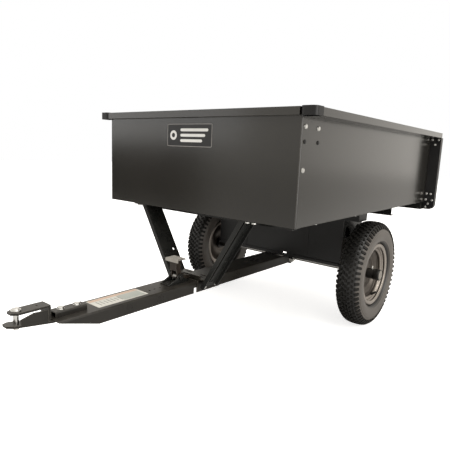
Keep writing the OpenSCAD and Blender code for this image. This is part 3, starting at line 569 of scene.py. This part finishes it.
def cut_corners(points, times, closed=True):
    """Corner cutting: each edge from a to b gives the points a + (b-a)/4 and a + 3(b-a)/4."""
    points = np.asarray(points, float)
    for _ in range(times):
        after = np.roll(points, -1, axis=0) if closed else points[1:]
        before = points if closed else points[:-1]
        pair = np.stack([before + (after - before) * 0.25, before + (after - before) * 0.75], axis=1)
        inner = pair.reshape(-1, points.shape[1])
        points = inner if closed else np.vstack([points[:1], inner, points[-1:]])
    return points


def turned(profile, centre, steps):
    """A profile of (x, radius) turned about the X axis: at angle t the point is
    (x, radius cos t, radius sin t), plus the centre."""
    t = np.linspace(0, 2 * np.pi, steps, endpoint=False)[:, None]
    x = profile[None, :, 0] + 0 * t
    points = np.stack([x, profile[None, :, 1] * np.cos(t), profile[None, :, 1] * np.sin(t)], axis=-1)
    return points.reshape(-1, 3) + centre


def piece(name, points, faces, body, slot=None, material=None, smooth=True):
    """Makes the mesh, checks that its faces look outwards by the sign of its volume, and lets it
    ride on its body. The volume is a sixth of the sum of a . (b x c) over the triangles."""
    points = np.asarray(points, float)
    faces = [list(f) for f in faces]
    volume = 0.0
    for count in {len(f) for f in faces}:
        some = points[np.array([f for f in faces if len(f) == count])]
        for k in range(1, count - 1):
            volume += np.einsum("ij,ij->i", some[:, 0], np.cross(some[:, k], some[:, k + 1])).sum() / 6
    if volume < 0:
        faces = [f[::-1] for f in faces]
    data = bpy.data.meshes.new(name)
    data.from_pydata(points.tolist(), [], faces)
    data.polygons.foreach_set("use_smooth", np.full(len(faces), smooth))
    data.materials.append(material or finishes[slot])
    made = bpy.data.objects.new(name, data)
    bpy.context.scene.collection.objects.link(made)
    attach(made, body)
    print(f"{name}: {len(faces)} faces, {abs(volume) * 1e6:.1f} cm3")
    return made


def lathed(name, profile, centre, steps, body, slot, material=None):
    """A piece whose closed profile is turned about the X axis in that many steps."""
    points = turned(profile, centre, steps)
    return piece(name, points, grid_faces(steps, len(profile)), body, slot, material)


# %% [markdown]
# ## Tyres
#
# A tyre's section starts at the bead inside the rim, leans out over the lip, is fullest half way
# up the wall, and turns in again to the tread. Two faint rings run round the wall. The corners
# below give the half from the bead to the middle of the tread, as shares of the tyre's half width
# and as places between the lip and the tread, and a mirrored copy gives the other half.

# %% Tyre section
half_width = size("right_tyre")[0] / 2
lug_height = 0.0055
lugs_round = 60
ground = tyre_radius - lug_height
wall_corners = [
    (0.36, -0.165), (0.485, -0.15), (0.50, -0.06), (0.55, 0.012), (0.68, 0.035), (0.81, 0.085),
    (0.885, 0.14), (0.91, 0.152), (0.925, 0.185), (0.92, 0.205), (0.955, 0.30), (0.972, 0.43),
    (0.965, 0.52), (0.945, 0.575), (0.952, 0.59), (0.942, 0.615), (0.918, 0.63), (0.865, 0.75),
    (0.78, 0.86), (0.64, 0.94), (0.44, 0.983), (0.20, 1.0),
]


def radius_at(share):
    """Radius from a share: the lip's radius at 0 and the ground of the tread at 1."""
    return lip_radius + share * (ground - lip_radius)


half_section = np.array([(x * half_width, radius_at(r)) for x, r in wall_corners])
section = np.vstack([half_section, half_section[::-1] * (-1, 1)])
section = cut_corners(section, 2)
print("points in the tyre's section:", len(section))

# %% [markdown]
# The lugs are small blocks in seven rows. The middle rows are staggered like bricks, and the
# outer ones wrap over the shoulder on to the wall. Each lug is a little hat: a grid that is sunk
# in the tyre round its border and stands up inside it. One lug is worked out as an array over
# its place along the section and round the tyre, and all of them are made at once.


# %% Lugs
def on_section(s):
    """Point and outward normal of the tyre's outer curve at arc length s from the tread's middle,
    positive towards +X: found by interpolation along the section."""
    clear_of_lip = 0.004
    reach_of_slope = 0.002
    outer = section[section[:, 1] > lip_radius + clear_of_lip]
    outer = outer[np.argsort(np.arctan2(outer[:, 0], outer[:, 1] - radius_at(0.45)))]
    steps = np.hypot(*np.diff(outer, axis=0).T)
    length = np.concatenate([[0], np.cumsum(steps)])
    tread = slice(len(outer) // 4, -len(outer) // 4)
    length -= np.interp(0.0, outer[tread, 0], length[tread])

    def at(place):
        """Point (x, radius) of the curve at that arc length."""
        return np.stack([np.interp(place, length, outer[:, 0]), np.interp(place, length, outer[:, 1])])

    slope_x, slope_r = at(s + reach_of_slope) - at(s - reach_of_slope)
    run = np.hypot(slope_x, slope_r)
    return *at(s), -slope_r / run, slope_x / run


def lug_row(start, end, count, width, offset, skew, height, segments):
    """count lugs round the tyre, each from arc length start to end along the section and width
    long round it. offset is the first lug's place as a share of the space from lug to lug. skew
    turns a lug: its place round the tyre grows by skew times s. Its top has segments points along
    the section."""
    inset = 0.0014
    sunk = 0.0015
    s = np.concatenate([[start], np.linspace(start + inset, end - inset, segments), [end]])
    along = np.array([-width / 2, -width / 2 + inset, width / 2 - inset, width / 2])
    lift = np.full((len(s), 4), -sunk)
    lift[1:-1, 1:-1] = height
    x, r, nx, nr = (v[:, None] for v in on_section(s))
    px, pr = x + nx * lift, r + nr * lift
    turn_by = (2 * np.pi * (np.arange(count) + offset) / count)[:, None, None]
    angle = turn_by + (along[None, None, :] + skew * (s[None, :, None] - (start + end) / 2)) / tyre_radius
    points = np.stack([px + 0 * angle, pr * np.cos(angle), pr * np.sin(angle)], axis=-1)
    rows, columns = len(s), 4
    tops = grid_faces(rows, columns, False, False)
    near, far = np.arange(columns), (rows - 1) * columns + np.arange(columns)
    left, right = np.arange(rows) * columns, np.arange(rows) * columns + columns - 1
    border = np.concatenate([near, right[1:], far[::-1][1:], left[::-1][1:-1]])
    shift = (np.arange(count) * rows * columns)[:, None, None]
    return points.reshape(-1, 3), (tops[None] + shift).reshape(-1, 4), (border[None] + shift[:, 0])


def all_lugs():
    """Every row of lugs in one set of points and faces. A row in the plan is its start and end
    along the section, the lugs' width, their offset, skew and height, and their segments. The
    rows on the other half of the tread are mirrored and a quarter of the space further on."""
    points, faces, base = [], [], 0
    plan = [
        (0.0300, 0.0500, 0.0118, 0.0, 0.0, lug_height * 0.8, 6),
        (0.0185, 0.0285, 0.0112, 0.5, 0.35, lug_height, 3),
        (0.0065, 0.0160, 0.0118, 0.0, -0.45, lug_height, 3),
    ]
    plan += [
        (-end, -start, width, offset + 0.25, -skew, height, segments)
        for start, end, width, offset, skew, height, segments in plan
    ]
    plan.append((-0.0045, 0.0045, 0.0112, 0.62, 0.5, lug_height, 3))
    for start, end, *rest in plan:
        row_points, quads, borders = lug_row(start, end, lugs_round, *rest)
        points.append(row_points)
        faces += (quads + base).tolist() + (borders + base)[:, ::-1].tolist()
        base += len(row_points)
    return np.vstack(points), faces


lug_points, lug_faces = all_lugs()
tyre_steps = 120
for side, centre in wheel_middle.items():
    body = f"{side}_wheel"
    wall = lathed(
        f"{side}_tyre_wall", section, centre, tyre_steps, body, "tyre_rubber", finishes["tyre_wall"]
    )
    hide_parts(f"{side}_tyre")
    piece(f"{side}_tyre_lugs", lug_points + centre, lug_faces, body, "tyre_rubber", smooth=False)

# %% [markdown]
# ## Rims
#
# A rim is one strip of steel, rolled: lips curled outwards at both edges, a seat for each bead,
# and a deep well between them. A pressed disc is welded in the well and dips towards the hub. A
# strip has a middle line and a thickness, so its outline is the middle line moved to both sides.


# %% Rolled rim and pressed disc
def strip(line, thickness):
    """A closed outline round a middle line: each point moved by half the thickness along the
    line's normal, out along one side and back along the other."""
    line = np.asarray(line, float)
    run = np.gradient(line, axis=0)
    run /= np.hypot(run[:, 0], run[:, 1])[:, None]
    normal = np.stack([-run[:, 1], run[:, 0]], axis=1) * thickness / 2
    return np.vstack([line + normal, (line - normal)[::-1]])


flange = size("right_rim")[0] / 2
lip = lip_radius - 0.0012
barrel = [
    (flange - 0.0020, lip - 0.0125), (flange + 0.0014, lip - 0.0130), (flange + 0.0036, lip - 0.0075),
    (flange + 0.0034, lip - 0.0010), (flange - 0.001, lip + 0.0004),
    (flange - 0.0052, lip - 0.0016), (flange - 0.0058, lip - 0.011), (flange - 0.0090, lip - 0.0150),
    (flange - 0.0130, lip - 0.0160), (flange - 0.0155, lip - 0.0195), (flange - 0.0175, lip - 0.0275),
]
barrel = np.array(barrel + [(-x, r) for x, r in reversed(barrel)])
barrel = cut_corners(barrel, 3, closed=False)
disc = [
    (0.0155, lip - 0.0278), (0.0062, lip - 0.0285), (0.0045, lip - 0.033), (0.0035, lip - 0.040),
    (-0.0055, lip - 0.049), (-0.0075, lip - 0.056), (-0.0070, lip - 0.066), (-0.0035, lip - 0.074),
    (-0.0035, lip - 0.079), (-0.0005, 0.0262), (0.0015, 0.0198),
]
disc = cut_corners(disc, 3, closed=False)
hoop_sheet, disc_sheet = 0.0024, 0.003
hoop_steps, disc_steps = 120, 96
hoop = strip(barrel, hoop_sheet)
for side, centre in wheel_middle.items():
    body = f"{side}_wheel"
    made = lathed(f"{side}_rim_barrel", hoop, centre, hoop_steps, body, "rim_paint")
    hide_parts(f"{side}_rim")
    pressed = strip(disc, disc_sheet) * (outward_of[side], 1)
    # The disc takes the darker copy of the rim's paint, which is painted shade.
    lathed(f"{side}_rim_disc", pressed, centre, disc_steps, body, "rim_paint", finishes["disc_shaded_paint"])

# %% [markdown]
# ## Grease fittings
#
# Each hub has a little fitting through which its bearing is greased: a nut, a waist and a ball.
# It stands on the hub between the disc and the cap. The profile is turned about an upright line
# in only twelve steps and left flat, so its foot keeps a nut's corners.


# %% Grease fittings
def upright(profile, centre, steps):
    """A profile of (radius, height) turned about an upright line through the centre."""
    t = np.linspace(0, 2 * np.pi, steps, endpoint=False)[:, None]
    around = (profile[None, :, 0] * np.cos(t), profile[None, :, 0] * np.sin(t))
    return np.stack([*around, profile[None, :, 1] + 0 * t], axis=-1).reshape(-1, 3) + centre


fitting_steps = 12
hub_wall = size("right_hub")[2] / 2 - 0.009
fitting_out = 0.019
nipple = np.array([
    (hair, -0.004), (0.0036, -0.004), (0.0036, 0.0035), (0.0022, 0.0042), (0.0018, 0.0062),
    (0.0031, 0.0078), (0.0029, 0.0098), (0.0016, 0.0112), (hair, 0.0112),
])
for side, centre in wheel_middle.items():
    foot = centre + (outward_of[side] * fitting_out, 0.0, hub_wall)
    piece(f"{side}_grease_fitting", upright(nipple, foot, fitting_steps),
          grid_faces(fitting_steps, len(nipple)), f"{side}_wheel", "zinc", smooth=False)

# %% [markdown]
# ## Hub caps
#
# A cap is a black cup pushed over the hub's end, with a pale domed disc let into its face. Both
# are turned from short profiles, and both take their place from the CAD cap's box.

# %% Cups and discs
cap_steps = 64
for side, centre in wheel_middle.items():
    outward = outward_of[side]
    body = f"{side}_wheel"
    cup_radius = size(f"{side}_cap")[2] / 2
    start = outward * (middle(f"{side}_cap") - centre)[0] - size(f"{side}_cap")[0] / 2
    end = start + size(f"{side}_cap")[0]
    cup = np.array([
        (start, cup_radius), (end - 0.003, cup_radius), (end - 0.0006, cup_radius - 0.0008),
        (end, cup_radius - 0.0018), (end - 0.001, cup_radius - 0.0024), (end - 0.0024, cup_radius - 0.0026),
        (end - 0.0024, hair), (end - 0.0044, hair), (end - 0.0044, cup_radius - 0.0016),
        (start, cup_radius - 0.0016),
    ]) * (outward, 1)
    made = lathed(f"{side}_cap_cup", cup, centre, cap_steps, body, "hub_black")
    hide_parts(f"{side}_cap")
    dome = np.array([
        (end - 0.0023, hair), (end - 0.0023, cup_radius - 0.0027), (end - 0.0011, cup_radius - 0.0029),
        (end - 0.0004, cup_radius - 0.0045), (end + 0.0005, cup_radius - 0.0105), (end + 0.0009, hair),
    ]) * (outward, 1)
    lathed(f"{side}_cap_disc", dome, centre, cap_steps, body, "cap_grey")

# %% [markdown]
# ## Latch spring
#
# A spring of round wire is a tube that follows a screw line. The line is a circle whose centre
# moves along the latch pin, and at both ends it runs off straight to press on the bracket and on
# the lever. The tube is a small circle set square to that line at each of its points.


# %% Wound spring
def tube(line, radius, sides):
    """A tube round a line: at each point a circle in the plane of two directions square to the
    line, with both ends closed by drawing the circle in to the line's end point."""
    run = np.gradient(line, axis=0)
    run /= np.linalg.norm(run, axis=1)[:, None]
    guide = np.array([1.0, 0.0, 0.0]) + 0 * run
    guide = guide - (guide * run).sum(1)[:, None] * run
    guide /= np.linalg.norm(guide, axis=1)[:, None]
    other = np.cross(run, guide)
    t = np.linspace(0, 2 * np.pi, sides, endpoint=False)
    ring = guide[:, None] * np.cos(t)[None, :, None] + other[:, None] * np.sin(t)[None, :, None]
    grow = np.full(len(line), radius)
    grow[[0, -1]] = radius * 0.02
    return line[:, None] + ring * grow[:, None, None]


low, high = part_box("latch_spring")
spring_middle = middle("latch_pin")
coil_radius = 0.0074
coil_length = 0.0156
wire = 0.001
wire_sides = 10
turns = 6.5
steps_a_turn = 28
t = np.linspace(0, 2 * np.pi * turns, int(turns * steps_a_turn))
coil = np.stack([
    -coil_length / 2 + coil_length * t / t[-1], -coil_radius * np.cos(t), coil_radius * np.sin(t),
], axis=1)
s = np.linspace(0, 1, 12)[:, None]
leg_in = coil[0] + s[::-1] * (0, 0, low[2] - spring_middle[2] + 0.001)
leg_out = coil[-1] + s[1:] * (0, 0, high[2] - spring_middle[2] - 0.0015)
path = np.vstack([leg_in[:-1], coil, leg_out]) + spring_middle
# Each end gets one more point close by, so that the wire is full size nearly to its flat end.
path = np.vstack([path[:1], path[:1] * 0.98 + path[1:2] * 0.02, path[1:], path[-1:]])
path[-1] = path[-2] + (0, 0, 0.0002)
rings = tube(path, wire, wire_sides)
first_ring = np.arange(wire_sides)
last_ring = (len(path) - 1) * wire_sides + first_ring
wire_faces = grid_faces(len(path), wire_sides, False, True).tolist()
wire_faces += [first_ring[::-1].tolist(), last_ring.tolist()]
made = piece("latch_spring_wire", rings.reshape(-1, 3), wire_faces, "drawbar", "spring_steel")
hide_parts("latch_spring")

# %% [markdown]
# ## Badge and label
#
# The front panel has a stuck-on badge and the tongue has a printed label. Both are made generic
# here: plain plates with bars and a ring, and no letters. Each layer is a thin sheet with round
# corners. Its outline is a rectangle whose corners are quarter circles, and it lies a hair's
# breadth proud of what it is stuck to.


# %% Thin plates with round corners
def outline(width, height, corner, steps=6):
    """A rectangle with round corners: each corner's centre plus the corner radius times
    (cos t, sin t), for t over that corner's quarter turn."""
    t = np.linspace(0, np.pi / 2, steps)
    parts = []
    for k, (sx, sy) in enumerate([(1, 1), (-1, 1), (-1, -1), (1, -1)]):
        a = t + k * np.pi / 2
        middle_of = (sx * (width / 2 - corner), sy * (height / 2 - corner))
        parts.append(np.stack([middle_of[0] + corner * np.cos(a), middle_of[1] + corner * np.sin(a)], axis=1))
    return np.vstack(parts)


def plate(name, loop, centre, across, up, thickness, body, material):
    """A thin plate: an outline laid on the directions across and up, and lifted by thickness
    along across x up, with a face on each side and a wall between them."""
    across, up = np.array(across, float), np.array(up, float)
    out_way = np.cross(across, up)
    flat_points = np.array(centre) + loop[:, :1] * across + loop[:, 1:] * up
    n = len(loop)
    points = np.vstack([flat_points, flat_points + out_way * thickness])
    faces = grid_faces(2, n, False, True).tolist() + [list(range(n))[::-1], list(range(n, 2 * n))]
    return piece(name, points, faces, body, None, material, smooth=False)


def print_finish(name, colour, second, scale):
    """Printed film: two close tones in fine clouds under a clear satin skin."""
    return finish(name, colour, second, colour, rough=(0.3, 0.4), peel=900.0, bump=0.03,
                  edge=0.0, dust=0.05, cloud=scale, radius=0.0002)


badge_black = print_finish("badge_black", (0.006, 0.006, 0.006), (0.009, 0.009, 0.009), 20.0)
badge_line = print_finish("badge_line", (0.2, 0.19, 0.18), (0.24, 0.23, 0.22), 30.0)
badge_pale = print_finish("badge_pale", (0.62, 0.62, 0.6), (0.7, 0.7, 0.68), 30.0)
label_cream = print_finish("label_cream", (0.4, 0.4, 0.36), (0.46, 0.45, 0.41), 40.0)
label_amber = print_finish("label_amber", (0.38, 0.26, 0.185), (0.42, 0.3, 0.225), 40.0)
label_grey = print_finish("label_grey", (0.25, 0.265, 0.24), (0.3, 0.31, 0.28), 40.0)
label_ink = print_finish("label_ink", (0.09, 0.09, 0.085), (0.12, 0.12, 0.11), 40.0)

# %% Badge on the front panel
film = 0.0002
sheet_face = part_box("bed_floor")[0][1] - 0.0023
rail_top = cad_box[1][2]
badge_at = np.array([-0.001, sheet_face, rail_top - 0.077])
layer = np.array([0, -0.0003, 0])


def on_badge(name, loop, layers, shift, paint, thickness=film):
    """A plate on the front panel, so many layers out and shifted by (x, z) from its middle."""
    place = badge_at + layers * layer + (shift[0], 0, shift[1])
    plate(name, loop, place, (1, 0, 0), (0, 0, 1), thickness, "bed", paint)


bar_height, bar_pitch, disc_x = 0.0088, 0.0165, -0.068
on_badge("badge_border", outline(0.192, 0.070, 0.004), 0, (0, 0), badge_line, 0.00035)
on_badge("badge_plate", outline(0.188, 0.066, 0.003), 1, (0, 0), badge_black)
for k, (x, width) in enumerate([(0.022, 0.118), (0.016, 0.106), (0.010, 0.094)]):
    on_badge(f"badge_bar_{k}", outline(width, bar_height, bar_height / 2), 2,
             (x, bar_pitch - bar_pitch * k), badge_pale)
on_badge("badge_disc", outline(0.030, 0.030, 0.015, 12), 2, (disc_x, 0), badge_pale)
on_badge("badge_disc_middle", outline(0.014, 0.014, 0.007, 12), 3, (disc_x, 0), badge_black)

# %% Label on the tongue
label_at = np.array([-0.003, tongue_low[1] + 0.209, tongue_high[2]])
printing = label_at + (0, 0, 0.00025)


def on_tongue(name, loop, place, paint, thickness=film):
    """A plate that lies on top of the tongue."""
    plate(name, loop, place, (1, 0, 0), (0, 1, 0), thickness, "drawbar", paint)


on_tongue("label_plate", outline(0.062, 0.170, 0.002), label_at, label_cream, 0.0003)
on_tongue("label_strip", outline(0.013, 0.164, 0.001), printing + (-0.0225, 0, 0), label_amber)
on_tongue("label_field", outline(0.040, 0.074, 0.001), printing + (0.0065, 0.040, 0), label_grey)
for k in range(7):
    on_tongue(f"label_line_{k}", outline(0.030 - 0.004 * (k % 3), 0.0024, 0.0008),
              printing + (0.0055, -0.068 + 0.0115 * k, 0), label_ink)
